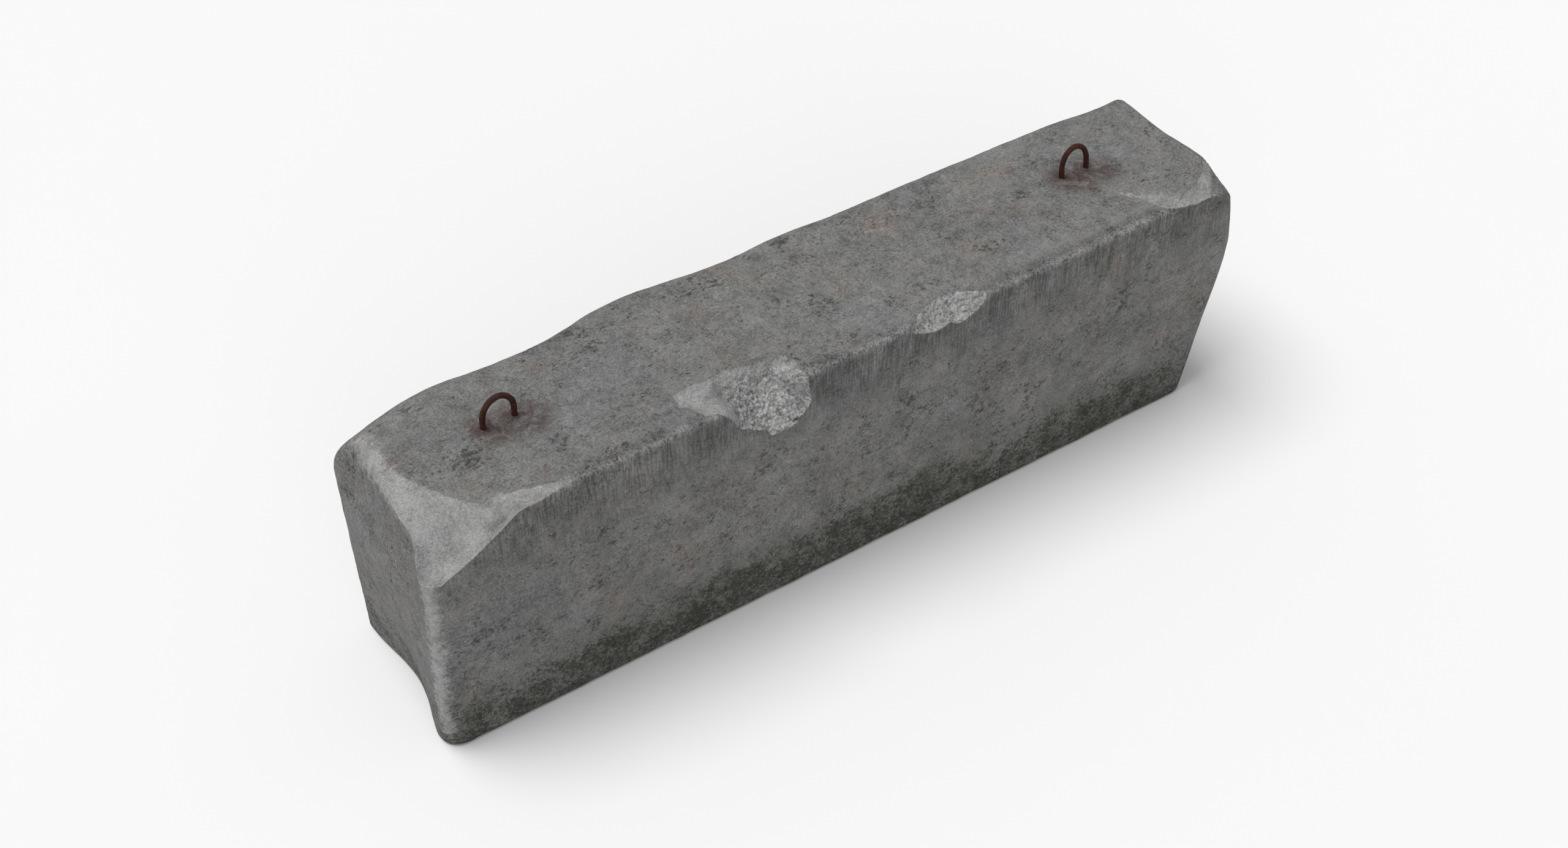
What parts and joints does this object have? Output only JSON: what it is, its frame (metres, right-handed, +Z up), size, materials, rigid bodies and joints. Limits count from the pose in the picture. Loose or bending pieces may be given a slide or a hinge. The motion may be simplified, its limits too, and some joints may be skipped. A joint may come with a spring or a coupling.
{
  "type": "concrete vehicle stop block",
  "caption": "Worn precast concrete vehicle stop block with an undercut end, broken corners and edge, a wire-tied steel cage inside and steel lifting loops on top.",
  "frame": {"origin": "middle of the base, on the ground", "axes": "+X along the block to its undercut right end, +Y to the wavy rear face, +Z up; the broken edge is on the -Y side"},
  "size_m": [1.8785, 0.3914, 0.638],
  "materials": {
    "concrete": "weathered grey cast concrete, mossy at the foot",
    "loop_steel": "dark red-brown rust",
    "cage_steel": "mill scale with light rust",
    "tie_wire": "soft black annealed wire",
    "mortar": "fine cement mortar",
    "spacer_plastic": "recycled dark plastic"
  },
  "bodies": {
    "root": {"concrete_body": "concrete", "bottom_bar_front": "cage_steel", "bottom_bar_rear": "cage_steel", "bottom_spacer_blocks": "mortar", "bottom_tie_wires_front": "tie_wire", "bottom_tie_wires_rear": "tie_wire", "lifting_loop_left": "loop_steel", "lifting_loop_right": "loop_steel", "loop_anchor_bars_left": "cage_steel", "loop_anchor_bars_right": "cage_steel", "side_bar_front": "cage_steel", "side_bar_rear": "cage_steel", "side_spacer_wheels_front": "spacer_plastic", "side_spacer_wheels_rear": "spacer_plastic", "side_tie_wires_front": "tie_wire", "side_tie_wires_rear": "tie_wire", "stirrup_1": "cage_steel", "stirrup_2": "cage_steel", "stirrup_3": "cage_steel", "stirrup_4": "cage_steel", "stirrup_5": "cage_steel", "stirrup_6": "cage_steel", "stirrup_7": "cage_steel", "stirrup_8": "cage_steel", "stirrup_9": "cage_steel", "top_bar_front": "cage_steel", "top_bar_rear": "cage_steel", "top_tie_wires_front": "tie_wire"}
  },
  "joints": []
}
